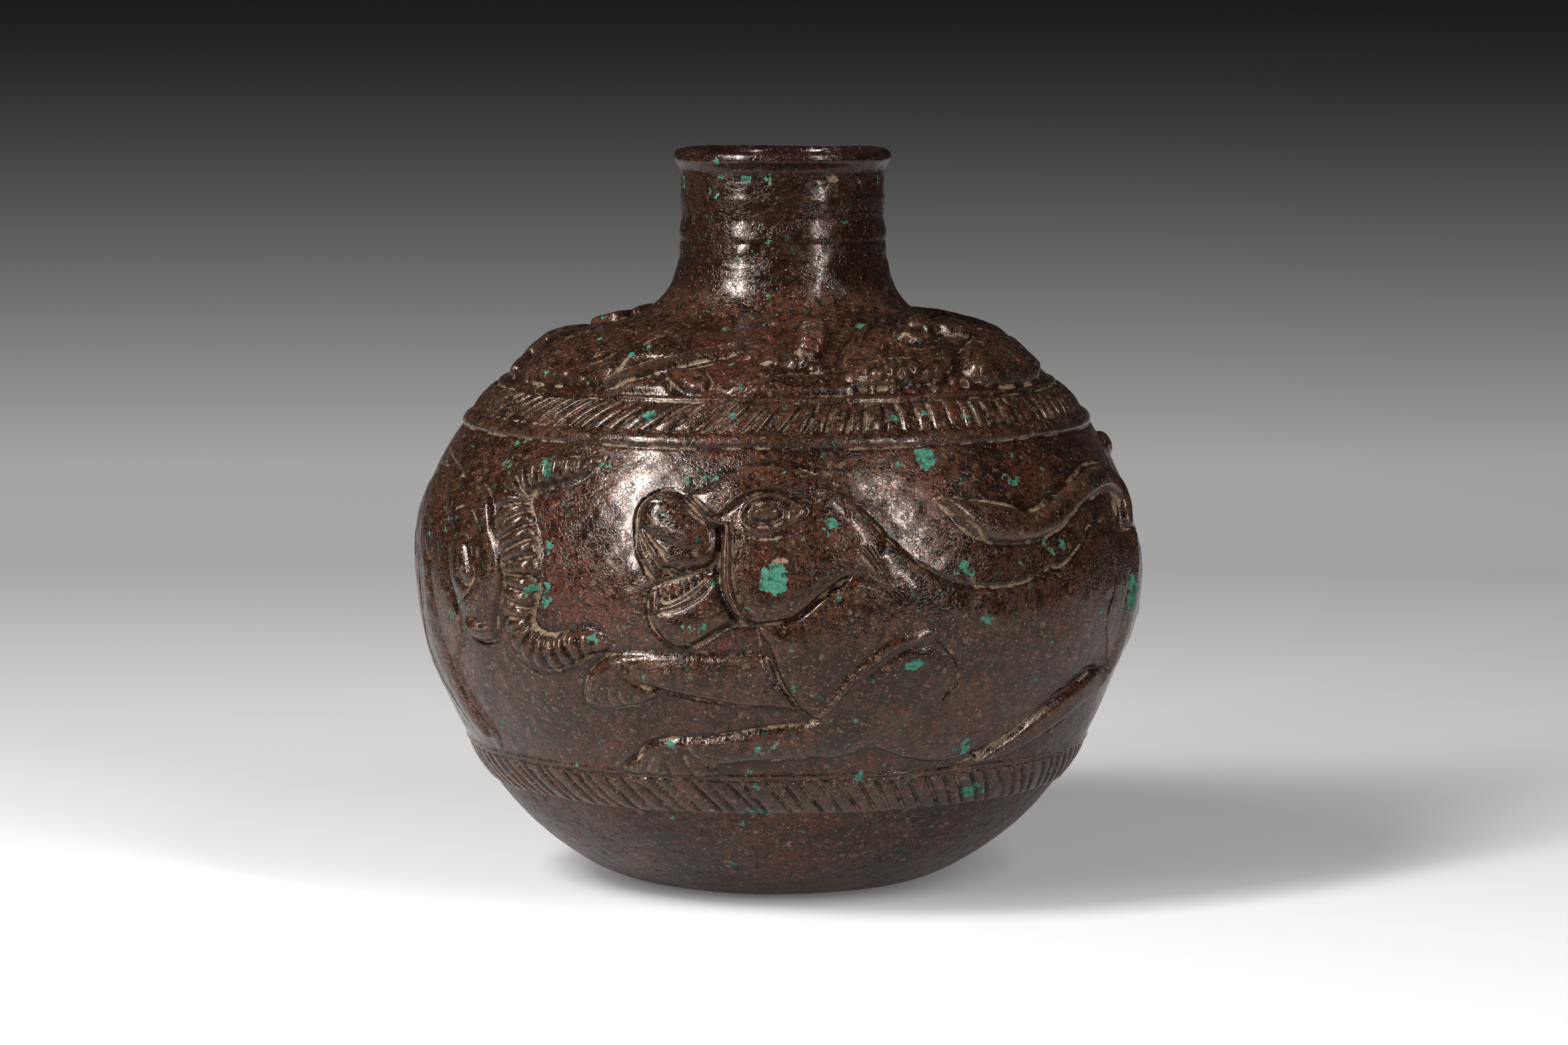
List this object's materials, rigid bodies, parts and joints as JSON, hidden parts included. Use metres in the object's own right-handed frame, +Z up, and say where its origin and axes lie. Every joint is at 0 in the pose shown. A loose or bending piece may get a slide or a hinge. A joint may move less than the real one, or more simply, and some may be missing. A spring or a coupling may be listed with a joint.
{
  "type": "bronze jar",
  "caption": "Round-bellied bronze jar with a short neck, rolled rim, slanted-stroke bands and registers of relief animals on belly and shoulder.",
  "frame": {"origin": "middle of the flat foot, on the surface the jar stands on", "axes": "+Z up along the jar's axis, -Y towards the side with the open-jawed beast, +X to the right of a viewer there"},
  "size_m": [0.2043, 0.2082, 0.2041],
  "materials": {
    "wall": "glossy dark brown bronze patina with fine crackle",
    "foot": "red-brown bronze patina, duller and stained",
    "relief": "burnished dark bronze with pale deposit in the grooves",
    "band": "worn bronze with pale tan deposit between the strokes",
    "rim": "dark bronze with a green tinge"
  },
  "bodies": {
    "root": {"foot_bowl": "foot", "belly_wall": "wall", "shoulder_dome": "wall", "neck_sleeve": "wall", "rolled_rim": "rim", "upper_hatched_band": "band", "lower_hatched_band": "band", "upper_ridge": "band", "upper_line": "band", "lower_line": "band", "front_beast_cranium": "relief", "front_beast_eye": "relief", "front_beast_muzzle": "relief", "front_beast_lower_jaw": "relief", "front_beast_neck": "relief", "front_beast_trunk": "relief", "front_beast_tail": "relief", "front_beast_upper_foreleg": "relief", "front_beast_upper_paw": "relief", "front_beast_lower_foreleg": "relief", "front_beast_lower_paw": "relief", "front_beast_hind_leg": "relief", "back_beast_cranium": "relief", "back_beast_eye": "relief", "back_beast_muzzle": "relief", "back_beast_lower_jaw": "relief", "back_beast_neck": "relief", "back_beast_trunk": "relief", "back_beast_tail": "relief", "back_beast_upper_foreleg": "relief", "back_beast_upper_paw": "relief", "back_beast_lower_foreleg": "relief", "back_beast_lower_paw": "relief", "back_beast_hind_leg": "relief", "left_mask_face": "relief", "left_mask_brow": "relief", "left_mask_foreleg": "relief", "left_mask_mane": "relief", "right_mask_face": "relief", "right_mask_brow": "relief", "right_mask_foreleg": "relief", "right_mask_mane": "relief", "front_lying_head": "relief", "front_lying_back": "relief", "front_lying_haunch": "relief", "front_lying_foreleg": "relief", "front_mane_locks": "relief", "front_crouching_head": "relief", "front_crouching_ear": "relief", "front_crouching_body": "relief", "back_lying_head": "relief", "back_lying_back": "relief", "back_lying_haunch": "relief", "back_lying_foreleg": "relief", "back_mane_locks": "relief", "back_crouching_head": "relief", "back_crouching_ear": "relief", "back_crouching_body": "relief"}
  },
  "joints": []
}
